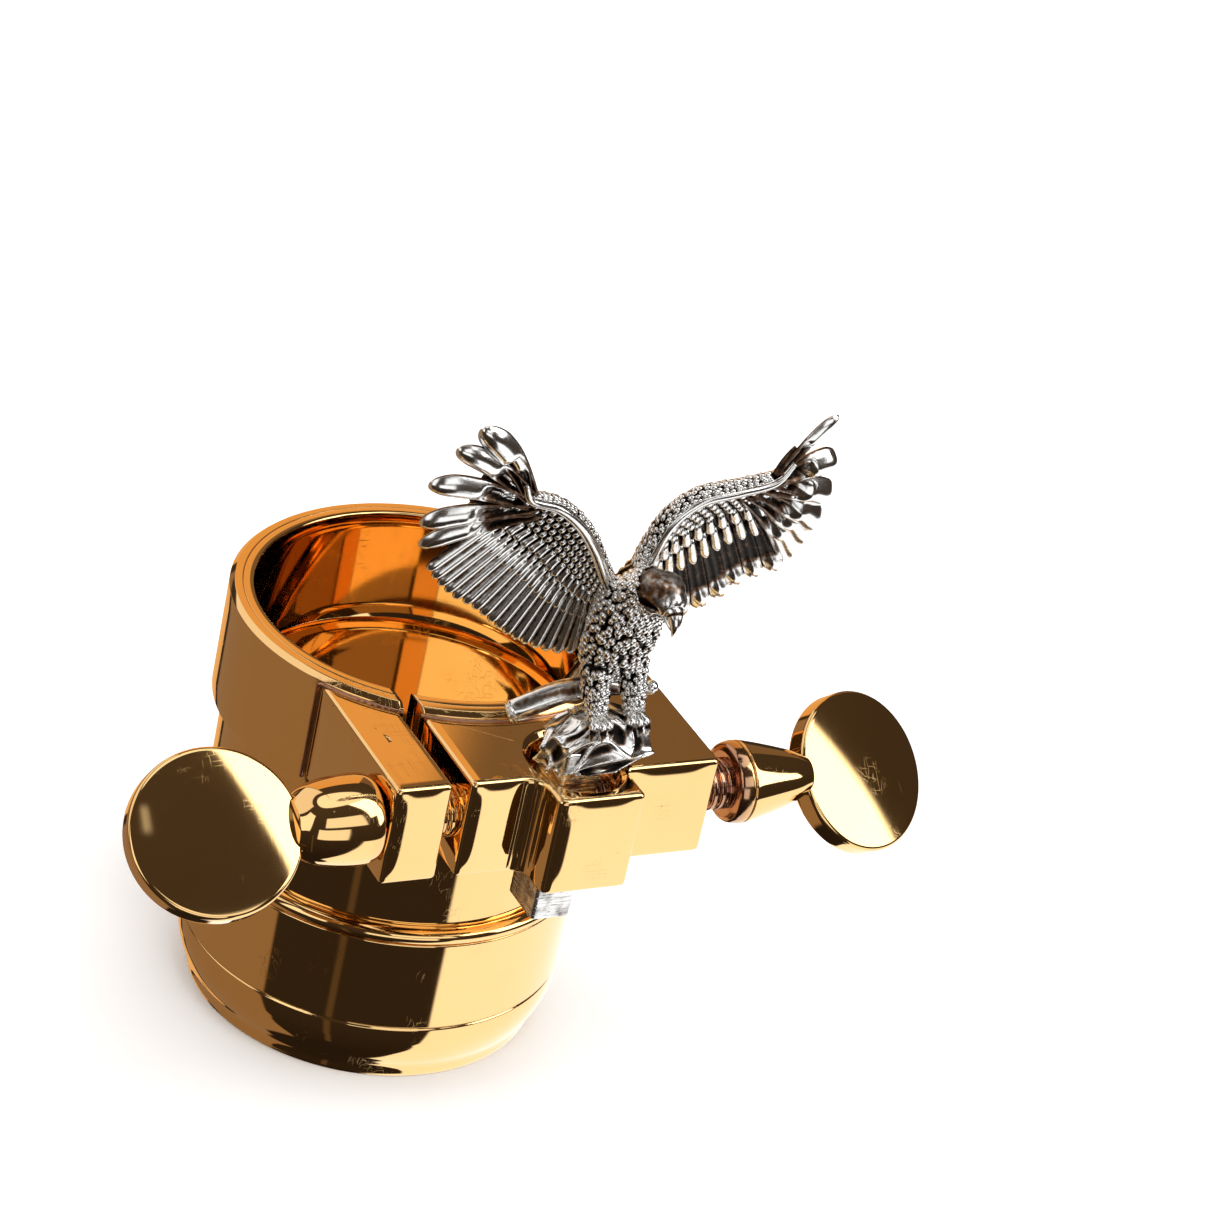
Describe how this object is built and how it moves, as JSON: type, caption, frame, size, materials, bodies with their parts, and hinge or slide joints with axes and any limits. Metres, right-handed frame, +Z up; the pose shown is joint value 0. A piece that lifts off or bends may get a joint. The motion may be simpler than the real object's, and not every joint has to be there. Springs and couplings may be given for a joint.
{
  "type": "saxophone neck clamp",
  "caption": "Split receiver collar with brazed clamp lugs, neck and lyre thumbscrews, and a spread-winged bird ornament on a square stem held in the lyre socket.",
  "frame": {"origin": "centre of the neck bore's mouth, at the collar's top rim", "axes": "+Z up out of the neck bore, -Y towards the clamp lugs and the front of the bird, -X towards the neck screw"},
  "size_m": [0.0661, 0.0433, 0.0642],
  "materials": {
    "collar_brass": "mirror-polished, gold lacquer",
    "block_brass": "polished faces with fine milling and grain, gold lacquer",
    "screw_brass": "polished with hairline scratches, gold lacquer",
    "oxidised_silver": "cast silver, blackened recesses, polished high points",
    "sawn_silver": "bright, sawn and filed"
  },
  "bodies": {
    "collar": {"receiver_sleeve": "collar_brass", "clamp_band": "collar_brass", "ferrule_bead": "collar_brass", "body_ferrule": "collar_brass", "left_clamp_lug": "block_brass", "right_clamp_block": "block_brass"},
    "neck_screw": {"neck_screw_stem": "screw_brass", "neck_screw_paddle": "screw_brass"},
    "lyre_screw": {"lyre_screw_stem": "screw_brass", "lyre_screw_paddle": "screw_brass"},
    "ornament": {"ornament_stem": "sawn_silver", "perch_rock": "oxidised_silver", "perch_branch": "oxidised_silver", "eagle_body": "oxidised_silver", "eagle_head": "oxidised_silver", "eagle_tail": "oxidised_silver", "eagle_right_leg": "oxidised_silver", "eagle_left_leg": "oxidised_silver", "eagle_right_wing": "oxidised_silver", "eagle_left_wing": "oxidised_silver"}
  },
  "joints": [
    {"name": "neck_screw_turn", "type": "hinge", "parent": "collar", "child": "neck_screw", "pos_m": [-0.0131, -0.0202, -0.00473], "axis": [-1, 0, 0], "range_deg": [0, 450]},
    {"name": "lyre_screw_turn", "type": "hinge", "parent": "collar", "child": "lyre_screw", "pos_m": [0.0158, -0.0202, -0.00473], "axis": [1, 0, 0], "range_deg": [0, 450]},
    {"name": "ornament_lift", "type": "slide", "parent": "collar", "child": "ornament", "axis": [0, 0, 1], "range_m": [0, 0.014]}
  ]
}
